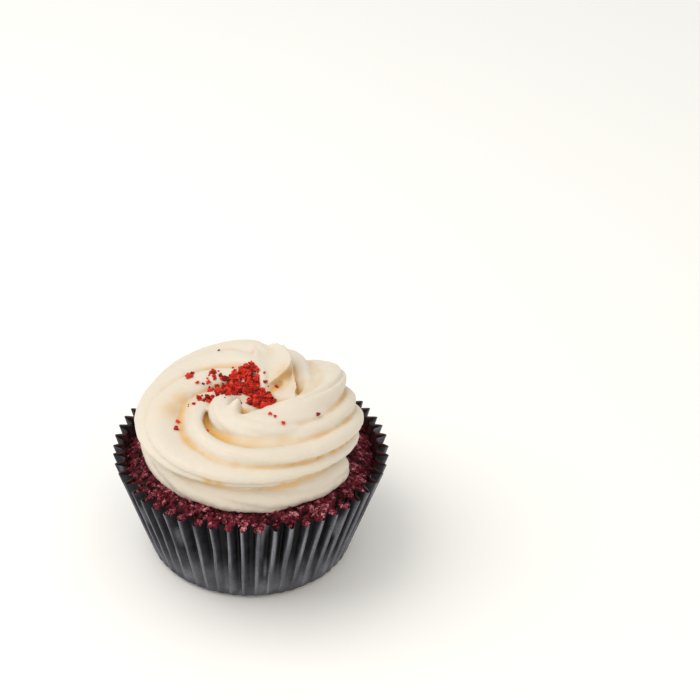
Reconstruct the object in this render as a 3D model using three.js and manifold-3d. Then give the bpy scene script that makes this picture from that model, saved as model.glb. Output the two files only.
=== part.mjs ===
// A cupcake: a pleated paper case, the cake baked in it, and one rope of piped frosting that is
// laid round the cake, climbs onto itself and ends in the middle, with red crumbs on top.
// Millimetres, +Z up. The origin is at the middle of the case's flat base.
import * as THREE from "three";
import { LoftGeometry } from "three/addons/geometries/LoftGeometry.js";
import { mergeVertices } from "three/addons/utils/BufferGeometryUtils.js";
import Module from "manifold-3d";

const wasm = await Module();
wasm.setup();

const TURN = 2 * Math.PI;
const degrees = THREE.MathUtils.degToRad;
const lerp = THREE.MathUtils.lerp;
const smoothstep = THREE.MathUtils.smoothstep;

// The paper case: a standard baking cup, opened out a little by the cake.
const CASE = {
  baseRadius: 27,
  rimRadius: 36.5,
  height: 30,
  paper: 0.5,
  pleats: 54,
  baseDepth: 0.7,
  rimDepth: 2.8,
  baseEdge: 1.2,
  depthScatter: 0.16,
  turnScatter: 0.08,
};

// The four corners of a pleat, as shares of its pitch, and how far each is folded in.
const PLEAT_CORNERS = [
  { at: -0.2, fold: 0 },
  { at: 0.2, fold: 0 },
  { at: 0.42, fold: 1 },
  { at: 0.58, fold: 1 },
];

// The cake: it fills the flutes, stands level with the rim at the front and lower elsewhere. Its
// top is a row of rings, each at a share of the way out, with a crumbly relief near the edge.
const CAKE = {
  clearance: 0.6,
  floorGap: 0.3,
  fluteFill: 0.6,
  domeHeight: 31.6,
  domePower: 5,
  edgeLow: 25.2,
  edgeHigh: 29.6,
  frontAzimuth: degrees(270),
  highReach: degrees(52),
  lowReach: degrees(92),
  rings: [
    { share: 1, relief: 0.15 },
    { share: 0.97, relief: 0.32 },
    { share: 0.93, relief: 0.32 },
    { share: 0.88, relief: 0 },
    { share: 0.74, relief: 0 },
    { share: 0.5, relief: 0 },
    { share: 0.05, relief: 0 },
  ],
};

// The rope of frosting, one row for each quarter turn, clockwise from above. It winds round an
// axis that wanders by (axisX, axisY), and twist is how far the nozzle's star has turned in it.
const ROPE = {
  startAzimuth: degrees(-20),
  quarters: [
    { radius: 20, height: 33, halfWidth: 9.5, halfHeight: 6, twist: 20, axisX: 0, axisY: -0.5 },
    { radius: 19, height: 33, halfWidth: 10.5, halfHeight: 6.5, twist: 85, axisX: 0, axisY: -0.5 },
    { radius: 18.5, height: 35, halfWidth: 9.5, halfHeight: 7.5, twist: 165, axisX: -1, axisY: 0 },
    { radius: 18, height: 37, halfWidth: 8.5, halfHeight: 7.5, twist: 260, axisX: -1, axisY: 0 },
    { radius: 20.5, height: 41, halfWidth: 10, halfHeight: 6.5, twist: 380, axisX: -0.5, axisY: 0.5 },
    { radius: 18.5, height: 41, halfWidth: 12, halfHeight: 5.5, twist: 420, axisX: -0.5, axisY: 0 },
    { radius: 16.5, height: 40, halfWidth: 15, halfHeight: 6, twist: 485, axisX: 1, axisY: -1 },
    { radius: 16, height: 43.5, halfWidth: 12.5, halfHeight: 6.5, twist: 575, axisX: -1, axisY: -1 },
    { radius: 14.5, height: 45, halfWidth: 8.5, halfHeight: 5, twist: 710, axisX: -1, axisY: -1.5 },
    { radius: 9.5, height: 45, halfWidth: 5, halfHeight: 3.5, twist: 800, axisX: -1.5, axisY: -2 },
    { radius: 4, height: 45, halfWidth: 3.5, halfHeight: 3, twist: 860, axisX: -2, axisY: -2 },
  ],
  lobes: 8,
  samplesPerLobe: 4,
  lengths: 8,
  stepsPerLength: 11,
  grooveDepth: 0.2,
  grooveRoundness: 1.3,
  bluntLength: 0.16,
  bluntShare: 0.25,
  nearestToAxis: 0.2,
};

// How the grooves' depth changes along the rope: shallow in its first turn, full in its second
// and softer at its end, with one groove that closes up on the way.
const GROOVES = {
  first: 0.4,
  deepening: [2.2, 4],
  last: 0.6,
  softening: [7.8, 9],
  closingLobe: 1,
  closing: [6.6, 7.2],
};

// The frosting inside the rope: shares of the radius and of the rise from shoulder to top.
const CORE = {
  radius: 13,
  base: 25,
  shoulder: 42,
  height: 46,
  facets: 24,
  crown: [
    { out: 1, up: 0 },
    { out: 0.7, up: 0.7 },
    { out: 0.35, up: 0.95 },
    { out: 0, up: 1 },
  ],
};

const GAP_OVER_CAKE = 0.3;

// The little tip where the nozzle was pulled away.
const PEAK = {
  x: -3.6,
  y: -3.4,
  base: 43.5,
  radius: 3,
  tipRadius: 0.5,
  taperPower: 0.8,
  rise: 5.4,
  lean: 0.7,
  sides: 10,
  steps: 5,
};

// The red crumbs: loose heaps, with the middle and half widths of each, and crumbs on their own.
const CRUMBS = {
  smallest: 0.5,
  largest: 0.95,
  lift: 0.4,
  spacing: 1.35,
  leastStretch: 0.8,
  mostStretch: 1.3,
  flatness: 0.85,
  heaps: [
    { x: -2.4, y: 6.4, halfX: 4.6, halfY: 6.0, tries: 68 },
    { x: 2.7, y: -2.2, halfX: 3.3, halfY: 3.6, tries: 32 },
    { x: -9.6, y: 7.0, halfX: 2.8, halfY: 4.2, tries: 18 },
    { x: -10.6, y: -1.2, halfX: 4.2, halfY: 1.8, tries: 18 },
    { x: -6.4, y: 2.4, halfX: 2.8, halfY: 2.6, tries: 16 },
    { x: -16.2, y: 9.6, halfX: 1.4, halfY: 1.6, tries: 4 },
    { x: -15.3, y: -2.8, halfX: 1.2, halfY: 1.4, tries: 4 },
  ],
  alone: [
    [-8.8, 18.6],
    [-18.8, -8.2],
    [-19.2, -11.6],
    [-11.2, -14.4],
    [4.7, -12.6],
    [5.9, -13.6],
    [8.0, -15.4],
    [16.9, -11.2],
    [6.6, 4.0],
  ],
};

// Vertices closer than WELD are one, and edges shorter than SLIVER are closed up.
const WELD = 1e-4;
const SLIVER = 0.03;

const SEEDS = { pleats: 11, cake: 23, crumbs: 51 };

const COLOURS = { paper: 0x2e2f33, cake: 0x4a1520, frosting: 0xf3e8cf };

// A repeatable stream of random numbers from 0 to 1.
function scatter(seed) {
  let state = seed >>> 0;
  return () => {
    state = (state + 0x6d2b79f5) >>> 0;
    let mixed = Math.imul(state ^ (state >>> 15), state | 1);
    mixed ^= mixed + Math.imul(mixed ^ (mixed >>> 7), mixed | 61);
    return ((mixed ^ (mixed >>> 14)) >>> 0) / 2 ** 32;
  };
}

// A closed geometry as a solid that can be joined and cut.
function solidOf(geometry) {
  const bare = new THREE.BufferGeometry();
  bare.setAttribute("position", geometry.attributes.position);
  bare.setIndex(geometry.index);
  const merged = mergeVertices(bare, WELD);
  return new wasm.Manifold(
    new wasm.Mesh({
      numProp: 3,
      vertProperties: merged.attributes.position.array,
      triVerts: new Uint32Array(merged.index.array),
    }),
  );
}

// A solid as a named mesh with its own material.
function meshOf(solid, name, material) {
  const { numProp, vertProperties, triVerts } = solid.simplify(SLIVER).getMesh();
  const positions = new Float32Array((vertProperties.length / numProp) * 3);
  for (let i = 0; i < positions.length / 3; i++) {
    positions.set(vertProperties.subarray(i * numProp, i * numProp + 3), i * 3);
  }
  const geometry = new THREE.BufferGeometry();
  geometry.setAttribute("position", new THREE.BufferAttribute(positions, 3));
  geometry.setIndex(new THREE.BufferAttribute(triVerts, 1));
  geometry.computeVertexNormals();
  const mesh = new THREE.Mesh(geometry, new THREE.MeshStandardMaterial(material));
  mesh.name = name;
  return mesh;
}

function polar(azimuth, radius, height) {
  return new THREE.Vector3(radius * Math.cos(azimuth), radius * Math.sin(azimuth), height);
}

// The corners of every pleat, anticlockwise from above, each pleat a little out of true.
function pleatCorners() {
  const random = scatter(SEEDS.pleats);
  const corners = [];
  for (let pleat = 0; pleat < CASE.pleats; pleat++) {
    const shift = (random() - 0.5) * CASE.turnScatter;
    const depth = 1 + (random() - 0.5) * 2 * CASE.depthScatter;
    for (const corner of PLEAT_CORNERS) {
      corners.push({
        azimuth: ((pleat + shift + corner.at) / CASE.pleats) * TURN,
        fold: corner.fold * depth,
      });
    }
  }
  return corners;
}

const CORNERS = pleatCorners();

// The cake only takes the middle of each crest and of each valley.
const CAKE_CORNERS = Array.from({ length: 2 * CASE.pleats }, (_, i) => {
  const [a, b] = [CORNERS[2 * i], CORNERS[2 * i + 1]];
  return { azimuth: (a.azimuth + b.azimuth) / 2, fold: a.fold };
});

// The radius of the pleated wall at a height. Fill is how much of the pleats' depth is followed.
function wallRadius(height, fold, fill = 1) {
  const rise = height / CASE.height;
  const crest = lerp(CASE.baseRadius, CASE.rimRadius, rise);
  const depth = lerp(CASE.baseDepth, CASE.rimDepth, rise);
  return crest - depth * (1 - fill) - depth * fill * fold;
}

function pleatedRing(height, inset, corners = CORNERS, fill = 1) {
  return corners.map(({ azimuth, fold }) =>
    polar(azimuth, wallRadius(height, fold, fill) - inset, height),
  );
}

function paperCase() {
  const { height, paper, baseEdge } = CASE;
  const outside = new LoftGeometry(
    [pleatedRing(0, baseEdge), pleatedRing(baseEdge, 0), pleatedRing(height, 0)],
    { capStart: true, capEnd: true },
  );
  const inside = new LoftGeometry(
    [
      pleatedRing(paper, baseEdge + paper),
      pleatedRing(baseEdge + paper, paper),
      pleatedRing(height + 1, paper),
    ],
    { capStart: true, capEnd: true },
  );
  return solidOf(outside).subtract(solidOf(inside));
}

// How far an azimuth is from the front of the cake, from 0 to half a turn.
function fromFront(azimuth) {
  const away = (((azimuth - CAKE.frontAzimuth) % TURN) + TURN) % TURN;
  return Math.min(away, TURN - away);
}

// The height of the cake's top: a low dome that meets the wall at an uneven level.
function cakeTop(azimuth, radius) {
  const { edgeLow, edgeHigh, highReach, lowReach, domeHeight, domePower } = CAKE;
  const level = 1 - smoothstep(fromFront(azimuth), highReach, lowReach);
  const edge = lerp(edgeLow, edgeHigh, level);
  const out = Math.min(1, radius / (CASE.rimRadius - CASE.rimDepth));
  return domeHeight - (domeHeight - edge) * Math.pow(out, domePower);
}

// One ring of the cake's top, fluted like the case and roughened by its relief.
function topRing({ share, relief }, inset, random) {
  return CAKE_CORNERS.map(({ azimuth, fold }) => {
    const edge = cakeTop(azimuth, CASE.rimRadius);
    const radius = share * (wallRadius(edge, fold, CAKE.fluteFill) - inset);
    const height = share === 1 ? edge : cakeTop(azimuth, radius);
    return polar(azimuth, radius, height + lerp(-relief, relief, random()));
  });
}

function cake() {
  const { clearance, floorGap, fluteFill, rings } = CAKE;
  const { paper, baseEdge } = CASE;
  const random = scatter(SEEDS.cake);
  const inset = paper + clearance;
  const floor = paper + floorGap;
  const loft = new LoftGeometry(
    [
      pleatedRing(floor, inset + baseEdge, CAKE_CORNERS, fluteFill),
      pleatedRing(floor + baseEdge, inset, CAKE_CORNERS, fluteFill),
      ...rings.map((ring) => topRing(ring, inset, random)),
    ],
    { capStart: true, capEnd: true },
  );
  return solidOf(loft);
}

// A value of the rope between its quarter stations, by a uniform Catmull-Rom curve.
function alongRope(quarters, name) {
  const last = ROPE.quarters.length - 1;
  const at = (i) => ROPE.quarters[THREE.MathUtils.clamp(i, 0, last)][name];
  const i = Math.min(last - 1, Math.floor(quarters));
  const t = quarters - i;
  const [a, b, c, d] = [at(i - 1), at(i), at(i + 1), at(i + 2)];
  const cubic = 3 * (b - c) + d - a;
  const square = 2 * a - 5 * b + 4 * c - d;
  return b + 0.5 * t * (c - a + t * (square + t * cubic));
}

// How deep the groove after a lobe is at a point of the rope, as a share of the full depth.
function grooveShare(lobe, quarters) {
  const { first, deepening, last, softening, closingLobe, closing } = GROOVES;
  const begun = lerp(first, 1, smoothstep(quarters, ...deepening));
  const share = begun * lerp(1, last, smoothstep(quarters, ...softening));
  return lobe === closingLobe ? share * (1 - smoothstep(quarters, ...closing)) : share;
}

// How much of its full size the rope has near its blunt, rounded ends.
function bluntness(quarters) {
  const nearest = Math.min(quarters, ROPE.quarters.length - 1 - quarters);
  const inside = Math.min(1, nearest / ROPE.bluntLength);
  return lerp(ROPE.bluntShare, 1, Math.sqrt(1 - Math.pow(1 - inside, 2)));
}

// One cross section of the rope: an oval with the lobes of the star nozzle, turned by its twist.
function ropeSection(quarters) {
  const { lobes, samplesPerLobe, grooveDepth, grooveRoundness } = ROPE;
  const azimuth = ROPE.startAzimuth - (quarters / 4) * TURN;
  const size = bluntness(quarters);
  const radius = alongRope(quarters, "radius");
  const height = alongRope(quarters, "height");
  const halfWidth = alongRope(quarters, "halfWidth") * size;
  const halfHeight = alongRope(quarters, "halfHeight") * size;
  const twist = degrees(alongRope(quarters, "twist"));
  const axis = new THREE.Vector3(alongRope(quarters, "axisX"), alongRope(quarters, "axisY"), 0);
  const count = lobes * samplesPerLobe;
  return Array.from({ length: count }, (_, i) => {
    const star = (i / count) * TURN;
    const valley = Math.pow(1 - Math.abs(Math.cos((star * lobes) / 2)), grooveRoundness);
    const share = grooveShare(Math.floor(i / samplesPerLobe), quarters);
    const reach = 1 - grooveDepth * share * valley;
    const out = Math.max(ROPE.nearestToAxis, radius + halfWidth * reach * Math.cos(star + twist));
    return polar(azimuth, out, height + halfHeight * reach * Math.sin(star + twist)).add(axis);
  });
}

// The rope in lengths that share their last and first steps with the next, joined into one.
function rope() {
  const { quarters, lengths, stepsPerLength } = ROPE;
  const steps = lengths * stepsPerLength;
  const pieces = Array.from({ length: lengths }, (_, piece) => {
    const first = piece * stepsPerLength;
    const last = Math.min(steps, first + stepsPerLength + 1);
    const sections = Array.from({ length: last - first + 1 }, (_, i) =>
      ropeSection(((first + i) / steps) * (quarters.length - 1)),
    );
    return solidOf(new LoftGeometry(sections, { capStart: true, capEnd: true }));
  });
  return wasm.Manifold.union(pieces);
}

function core() {
  const { radius, base, shoulder, height, facets, crown } = CORE;
  const profile = [
    new THREE.Vector2(0, base),
    new THREE.Vector2(radius, base),
    ...crown.map(({ out, up }) => new THREE.Vector2(radius * out, lerp(shoulder, height, up))),
  ];
  return solidOf(new THREE.LatheGeometry(profile, facets).rotateX(Math.PI / 2));
}

function peak() {
  const sections = Array.from({ length: PEAK.steps + 1 }, (_, i) => {
    const rise = i / PEAK.steps;
    const radius = PEAK.radius * Math.pow(1 - rise, PEAK.taperPower) + PEAK.tipRadius;
    const lean = PEAK.lean * rise * rise;
    return Array.from({ length: PEAK.sides }, (_, j) => {
      const angle = (j / PEAK.sides) * TURN;
      return new THREE.Vector3(
        PEAK.x + lean + radius * Math.cos(angle),
        PEAK.y + radius * Math.sin(angle),
        PEAK.base + PEAK.rise * rise,
      );
    });
  });
  return solidOf(new LoftGeometry(sections, { capStart: true, capEnd: true }));
}

// The solid without the pockets of air that are closed in between its turns.
function withoutPockets(solid) {
  return wasm.Manifold.union(solid.decompose().filter((shell) => shell.volume() > 0));
}

// Where the crumbs lie: the ones by themselves, then as many as find room in each heap's ellipse.
function crumbPlaces(random) {
  const places = [...CRUMBS.alone];
  for (const { x, y, halfX, halfY, tries } of CRUMBS.heaps) {
    for (let i = 0; i < tries; i++) {
      const angle = random() * TURN;
      const out = Math.sqrt(random());
      const place = [x + halfX * out * Math.cos(angle), y + halfY * out * Math.sin(angle)];
      const room = places.every(
        (other) => Math.hypot(other[0] - place[0], other[1] - place[1]) > CRUMBS.spacing,
      );
      if (room) {
        places.push(place);
      }
    }
  }
  return places;
}

// The crumbs as irregular pebbles, each sunk a little into the surface that lies under it.
function crumbs(surface) {
  const { smallest, largest, lift, leastStretch, mostStretch } = CRUMBS;
  const random = scatter(SEEDS.crumbs);
  const stretch = () => lerp(leastStretch, mostStretch, random());
  const down = new THREE.Vector3(0, 0, -1);
  return crumbPlaces(random).map(([x, y]) => {
    const above = new THREE.Vector3(x, y, 2 * CORE.height);
    const [hit] = new THREE.Raycaster(above, down).intersectObject(surface);
    const radius = lerp(smallest, largest, random());
    const pebble = new THREE.IcosahedronGeometry(radius, 0)
      .rotateX(random() * TURN)
      .rotateZ(random() * TURN)
      .scale(stretch(), stretch(), stretch() * CRUMBS.flatness)
      .translate(x, y, hit.point.z + radius * lift);
    return solidOf(pebble);
  });
}

// The swirl laid on the baked cake, with the crumbs stuck in it.
function frosting(baked) {
  const piped = wasm.Manifold.union([rope(), core(), peak()]);
  const swirl = withoutPockets(piped.subtract(baked.translate(0, 0, GAP_OVER_CAKE)));
  const surface = meshOf(swirl, "surface", { side: THREE.DoubleSide });
  return withoutPockets(wasm.Manifold.union([swirl, ...crumbs(surface)]));
}

const baked = cake();
const cupcake = new THREE.Group();
cupcake.add(
  meshOf(paperCase(), "paper_case", { color: COLOURS.paper, roughness: 0.5, metalness: 0 }),
  meshOf(baked, "cake", { color: COLOURS.cake, roughness: 0.85, metalness: 0 }),
  meshOf(frosting(baked), "frosting", { color: COLOURS.frosting, roughness: 0.45, metalness: 0 }),
);

export default cupcake;
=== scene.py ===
"""A frosted red cupcake in a pleated paper case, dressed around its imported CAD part.

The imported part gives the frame: +Z up, the origin at the middle of the case's flat base. Sizes
here are named in millimetres and become metres when a mesh is made. Every shape is a formula on
a grid of two parameters, worked out as whole numpy arrays. A pair of numbers named a span says
where a change begins and where it is complete.
"""

from __future__ import annotations

import logging
import math
from dataclasses import dataclass
from enum import Enum
import bmesh
import bpy
import numpy as np
from mathutils import Matrix, Vector
from mathutils.bvhtree import BVHTree


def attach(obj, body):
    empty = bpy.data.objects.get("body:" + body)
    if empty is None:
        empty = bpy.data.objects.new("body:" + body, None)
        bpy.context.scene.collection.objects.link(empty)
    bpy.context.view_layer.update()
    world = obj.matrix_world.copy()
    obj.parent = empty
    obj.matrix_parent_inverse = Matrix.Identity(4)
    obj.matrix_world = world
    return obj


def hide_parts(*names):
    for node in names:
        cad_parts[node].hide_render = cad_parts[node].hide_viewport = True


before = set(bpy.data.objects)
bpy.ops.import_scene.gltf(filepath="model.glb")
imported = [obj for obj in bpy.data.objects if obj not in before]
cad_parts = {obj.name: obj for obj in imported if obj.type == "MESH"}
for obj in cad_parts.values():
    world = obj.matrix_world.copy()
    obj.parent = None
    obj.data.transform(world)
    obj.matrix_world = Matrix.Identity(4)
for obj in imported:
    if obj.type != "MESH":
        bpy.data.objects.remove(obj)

MM = 0.001
TURN = 2 * math.pi
WORD = 0xFFFFFFFF
BODY = "root"
NOISE_SPAN = (0.3, 0.7)  # where most of the values of Blender's noise lie

Socket = bpy.types.NodeSocket
Finish = bpy.types.Material
Piece = bpy.types.Object
Random = np.random.Generator
Array = np.ndarray
Solid = tuple[Array, Array, Array]

log = logging.getLogger("cupcake")


class Slot(Enum):
    """Names of material slots for the paper, the cake and the frosting."""

    PAPER = "paper"
    CAKE = "cake"
    FROSTING = "frosting"


class Operation(Enum):
    """What a material does with two numbers."""

    ADD = "ADD"
    MULTIPLY = "MULTIPLY"


def scatter(seed: int, count: int) -> Array:
    """Draws the same repeatable numbers that the CAD part scatters its pleats with.

    Args:
        seed: Where the stream starts.
        count: How many numbers.

    Returns:
        That many numbers from 0 to 1.
    """
    state = (seed + np.arange(1, count + 1, dtype=np.uint64) * 0x6D2B79F5) & WORD
    mixed = ((state ^ (state >> 15)) * (state | 1)) & WORD
    stirred = ((mixed ^ (mixed >> 7)) * (mixed | 61)) & WORD
    mixed ^= (mixed + stirred) & WORD
    return ((mixed ^ (mixed >> 14)) & WORD) / 2**32


def lerp(start: Array, end: Array, share: Array) -> Array:
    """Gives the values a share of the way from start to end."""
    return start + (end - start) * share


def smoothstep(value: Array, low: float, high: float) -> Array:
    """Eases from 0 at low to 1 at high, level at both ends."""
    share = np.clip((value - low) / (high - low), 0, 1)
    return share * share * (3 - 2 * share)


def polar(azimuth: Array, radius: Array, height: Array) -> Array:
    """Gives places by azimuth, distance from the axis and height, with x, y and z last."""
    x, y = radius * np.cos(azimuth), radius * np.sin(azimuth)
    return np.stack(np.broadcast_arrays(x, y, height), axis=-1)


def lattice_value(cells: Array, seed: int) -> Array:
    """Gives each whole-numbered lattice point its own value, by stirring with large odd numbers.

    Args:
        cells: Whole numbers, with the last axis x, y and z.
        seed: Which set of values.

    Returns:
        Values from 0 to 1.
    """
    x, y, z = (cells[..., i].astype(np.int64) & 0xFFFF for i in range(3))
    mixed = (x * 374761393 + y * 668265263 + z * 2147483647 + seed * 1274126177) & WORD
    mixed = ((mixed ^ (mixed >> 13)) * 1274126177) & WORD
    mixed = ((mixed ^ (mixed >> 16)) * 2246822519) & WORD
    return ((mixed ^ (mixed >> 15)) & 0xFFFFFF) / 0xFFFFFF


def noise(points: Array, size: float, seed: int) -> Array:
    """Smooth noise in space: lattice values blended across each cell by eased weights.

    Args:
        points: Places in millimetres, with the last axis x, y and z.
        size: Width of a cell in millimetres.
        seed: Which noise.

    Returns:
        Values from -1 to 1.
    """
    scaled = points / size
    cell = np.floor(scaled)
    eased = smoothstep(scaled - cell, 0, 1)
    total = np.zeros(points.shape[:-1])
    for corner in np.ndindex(2, 2, 2):
        weight = np.prod(np.where(np.array(corner) == 1, eased, 1 - eased), axis=-1)
        total += weight * lattice_value(cell + np.array(corner), seed)
    return 2 * total - 1


def grains(points: Array, size: float, seed: int, reach: float = 0.9) -> Array:
    """How near each place is to the middle of the nearest grain.

    Each cell of a lattice holds one grain at a scattered place in it.

    Args:
        points: Places in millimetres, with the last axis x, y and z.
        size: Width of a cell in millimetres.
        seed: Which grains.
        reach: How far a grain reaches, in cells.

    Returns:
        1 at a grain's middle, falling to about 0 halfway to the next.
    """
    scaled = points / size
    cell = np.floor(scaled)
    nearest = np.full(points.shape[:-1], np.inf)
    for step in np.ndindex(3, 3, 3):
        at = cell + np.array(step) - 1
        middle = at + np.stack([lattice_value(at, seed + axis) for axis in range(3)], axis=-1)
        nearest = np.minimum(nearest, np.sum((scaled - middle) ** 2, axis=-1))
    return np.clip(1 - np.sqrt(nearest) / reach, 0, 1)


@dataclass(frozen=True)
class Layer:
    """A layer of noise: its middle value, how far it swings, and the size of its cells in mm.

    rise is how fast it changes upward for how fast it changes across, so a low one is streaks.
    """

    middle: float
    swing: float
    size: float
    seed: int
    rise: float = 1.0

    def at(self, points: Array) -> Array:
        """Gives the layer's values at these places."""
        return self.middle + self.swing * noise(points * (1, 1, self.rise), self.size, self.seed)


def catmull_rom(rows: Array, at: Array) -> Array:
    """A uniform Catmull-Rom curve through evenly spaced rows of numbers.

    Args:
        rows: The rows, of which the first and last stand in for those beyond the ends.
        at: Where along them, from 0 to one less than their number.

    Returns:
        A row for each of those places.
    """
    last = len(rows) - 1
    i = np.minimum(last - 1, np.floor(at)).astype(int)
    t = (at - i)[:, None]
    a, b, c, d = (rows[np.clip(i + step, 0, last)] for step in (-1, 0, 1, 2))
    return b + 0.5 * t * (c - a + t * (2 * a - 5 * b + 4 * c - d + t * (3 * (b - c) + d - a)))


def ring_quads(rows: int, columns: int) -> Array:
    """Quads of a grid whose columns close round, facing out where rows rise.

    Args:
        rows: Rings of points.
        columns: Points in a ring, anticlockwise from above.

    Returns:
        An array of quads, four point numbers in each.
    """
    row, column = np.meshgrid(np.arange(rows - 1), np.arange(columns), indexing="ij")
    here = row * columns + column
    beside = row * columns + (column + 1) % columns
    quads = np.stack([here, beside, beside + columns, here + columns], axis=-1)
    return quads.reshape(-1, 4)


def fan(ring: Array, centre: int, turned: bool) -> Array:
    """Triangles that close a ring of points to one centre point.

    Args:
        ring: Point numbers round the ring.
        centre: The centre's point number.
        turned: True where the ring is seen clockwise from outside.

    Returns:
        An array of triangles.
    """
    after = np.roll(ring, -1)
    sides = (after, ring) if turned else (ring, after)
    return np.stack([np.full(len(ring), centre), *sides], axis=-1)


def closed_tube(rings: Array, ends: Array | None = None) -> Solid:
    """Makes a closed solid of a grid of rings.

    Args:
        rings: Points by ring and by place round it.
        ends: The two points that close it, or None for the middles of the end rings.

    Returns:
        Its points, quads and end triangles.
    """
    rows, columns = rings.shape[:2]
    ring, count = np.arange(columns), rows * columns
    ends = rings[[0, -1]].mean(axis=1) if ends is None else ends
    fans = [fan(ring, count, True), fan(count - columns + ring, count + 1, False)]
    points = np.concatenate([rings.reshape(-1, 3), ends])
    return points, ring_quads(rows, columns), np.concatenate(fans)


def mesh_piece(name: str, points: Array, *faces: Array) -> Piece:
    """Makes a smooth-shaded mesh object at the origin.

    Args:
        name: The piece's name.
        points: Its points in millimetres, one row each.
        faces: Arrays of faces, each with its own number of corners.

    Returns:
        The object, linked to the scene.
    """
    mesh = bpy.data.meshes.new(name)
    mesh.from_pydata((points * MM).tolist(), [], [row for part in faces for row in part.tolist()])
    mesh.shade_smooth()
    piece = bpy.data.objects.new(name, mesh)
    bpy.context.scene.collection.objects.link(piece)
    return piece


def store(piece: Piece, name: str, values: Array) -> None:
    """Keeps one number for each point of a piece, for its material to read."""
    attribute = piece.data.attributes.new(name, "FLOAT", "POINT")
    attribute.data.foreach_set("value", values.astype(np.float32).ravel())


def fetch(items: bpy.types.bpy_prop_collection, name: str, width: int, kind: type) -> Array:
    """Reads one property of all points, normals or edges of a mesh.

    Args:
        items: The mesh's points, normals or edges.
        name: The property.
        width: How many numbers it has.
        kind: What type they are.

    Returns:
        A row of numbers for each item.
    """
    flat = np.zeros(len(items) * width, kind)
    items.foreach_get(name, flat)
    return flat.reshape(-1, width)


def normals_of(piece: Piece) -> Array:
    """Reads the direction that each point of a piece faces."""
    return fetch(piece.data.vertex_normals, "vector", 3, np.float32).astype(float)


def neighbour_mean(edges: Array, values: Array) -> Array:
    """Averages values over each point's neighbours along the edges.

    Args:
        edges: Pairs of point numbers.
        values: One row of numbers for each point.

    Returns:
        The mean of the neighbours' rows, for each point.
    """
    count = len(values)
    ends = np.concatenate([edges[:, 0], edges[:, 1]])
    others = np.concatenate([edges[:, 1], edges[:, 0]])
    number = np.maximum(np.bincount(ends, minlength=count), 1)
    sums = [np.bincount(ends, values[others, axis], count) for axis in range(values.shape[1])]
    return np.stack(sums, axis=-1) / number[:, None]


def one_skin(piece: Piece, voxel_mm: float) -> None:
    """Merges a piece's overlapping solids into one skin.

    Args:
        piece: The piece, whose mesh is replaced.
        voxel_mm: Width of a cell of the lattice that the skin is made on.
    """
    merge = piece.modifiers.new("one_skin", "REMESH")
    merge.mode = "VOXEL"
    merge.voxel_size = voxel_mm * MM
    evaluated = piece.evaluated_get(bpy.context.evaluated_depsgraph_get())
    skin = bpy.data.meshes.new_from_object(evaluated)
    piece.modifiers.clear()
    rough, piece.data = piece.data, skin
    skin.name = piece.name
    bpy.data.meshes.remove(rough)
    skin.shade_smooth()


def turned_at_random(random: Random, count: int) -> Array:
    """Gives evenly spread random rotations, from unit quaternions of four normal numbers.

    Args:
        random: Where the numbers come from.
        count: How many rotations.

    Returns:
        An array of 3 by 3 matrices.
    """
    quaternions = random.normal(size=(4, count))
    w, x, y, z = quaternions / np.linalg.norm(quaternions, axis=0)
    rows = [
        [1 - 2 * (y * y + z * z), 2 * (x * y - z * w), 2 * (x * z + y * w)],
        [2 * (x * y + z * w), 1 - 2 * (x * x + z * z), 2 * (y * z - x * w)],
        [2 * (x * z - y * w), 2 * (y * z + x * w), 1 - 2 * (x * x + y * y)],
    ]
    return np.moveaxis(np.array(rows), -1, 0)


@dataclass(frozen=True)
class GrainShape:
    """The form of irregular grains.

    A grain is a round template, stretched along three random axes, turned, and pushed in and
    out by noise that is different for each grain. flatness is how much lower than wide it lies;
    lumpiness is how far noise moves its surface, as a share of its radius; each pair in lumps
    is how fine a layer of lumps is and its share.
    """

    flatness: float
    lumpiness: float
    seed: int
    stretch: tuple = (0.72, 1.28)
    lumps: tuple = ((1.6, 1.0), (3.4, 0.5))
    apart: float = 500.0

    def template(self) -> tuple[Array, Array]:
        """Makes the round grain that the others are cut from.

        Returns:
            Its points on the unit sphere and its 80 triangles.
        """
        ball = bmesh.new()
        bmesh.ops.create_icosphere(ball, subdivisions=2, radius=1)
        points = np.array([v.co for v in ball.verts], float)
        faces = np.array([[v.index for v in f.verts] for f in ball.faces])
        ball.free()
        return points, faces

    def cloud(self, middles: Array, radii: Array) -> tuple[Array, Array]:
        """Makes many grains as one set of points and faces.

        Args:
            middles: The grains' middles in millimetres.
            radii: Their radii in millimetres.

        Returns:
            The points and the triangles of all the grains.
        """
        random = np.random.default_rng(self.seed)
        ball, faces = self.template()
        count = len(middles)
        stretch = random.uniform(*self.stretch, size=(count, 1, 3))
        turns = turned_at_random(random, count)
        offsets = random.uniform(-self.apart, self.apart, size=(count, 1, 3))
        pushed = np.ones((count, len(ball)))
        for number, (fineness, share) in enumerate(self.lumps):
            lumps = noise(ball[None] * fineness + offsets, 1.0, self.seed + number)
            pushed += share * self.lumpiness * lumps
        shaped = np.einsum("nij,npj->npi", turns, ball[None] * pushed[..., None] * stretch)
        shaped[..., 2] *= 1 - self.flatness
        points = middles[:, None] + shaped * radii[:, None, None]
        numbered = faces[None] + len(ball) * np.arange(count)[:, None, None]
        return points.reshape(-1, 3), numbered.reshape(-1, 3)


def linear(code: str) -> tuple[float, float, float, float]:
    """Turns a colour into the linear light that Blender works in.

    Args:
        code: Its sRGB hex value.

    Returns:
        Linear red, green, blue and alpha.
    """
    parts = np.array([int(code[i : i + 2], 16) / 255 for i in (0, 2, 4)])
    low, high = parts / 12.92, ((parts + 0.055) / 1.055) ** 2.4
    return (*np.where(parts <= 0.04045, low, high).tolist(), 1.0)


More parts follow.
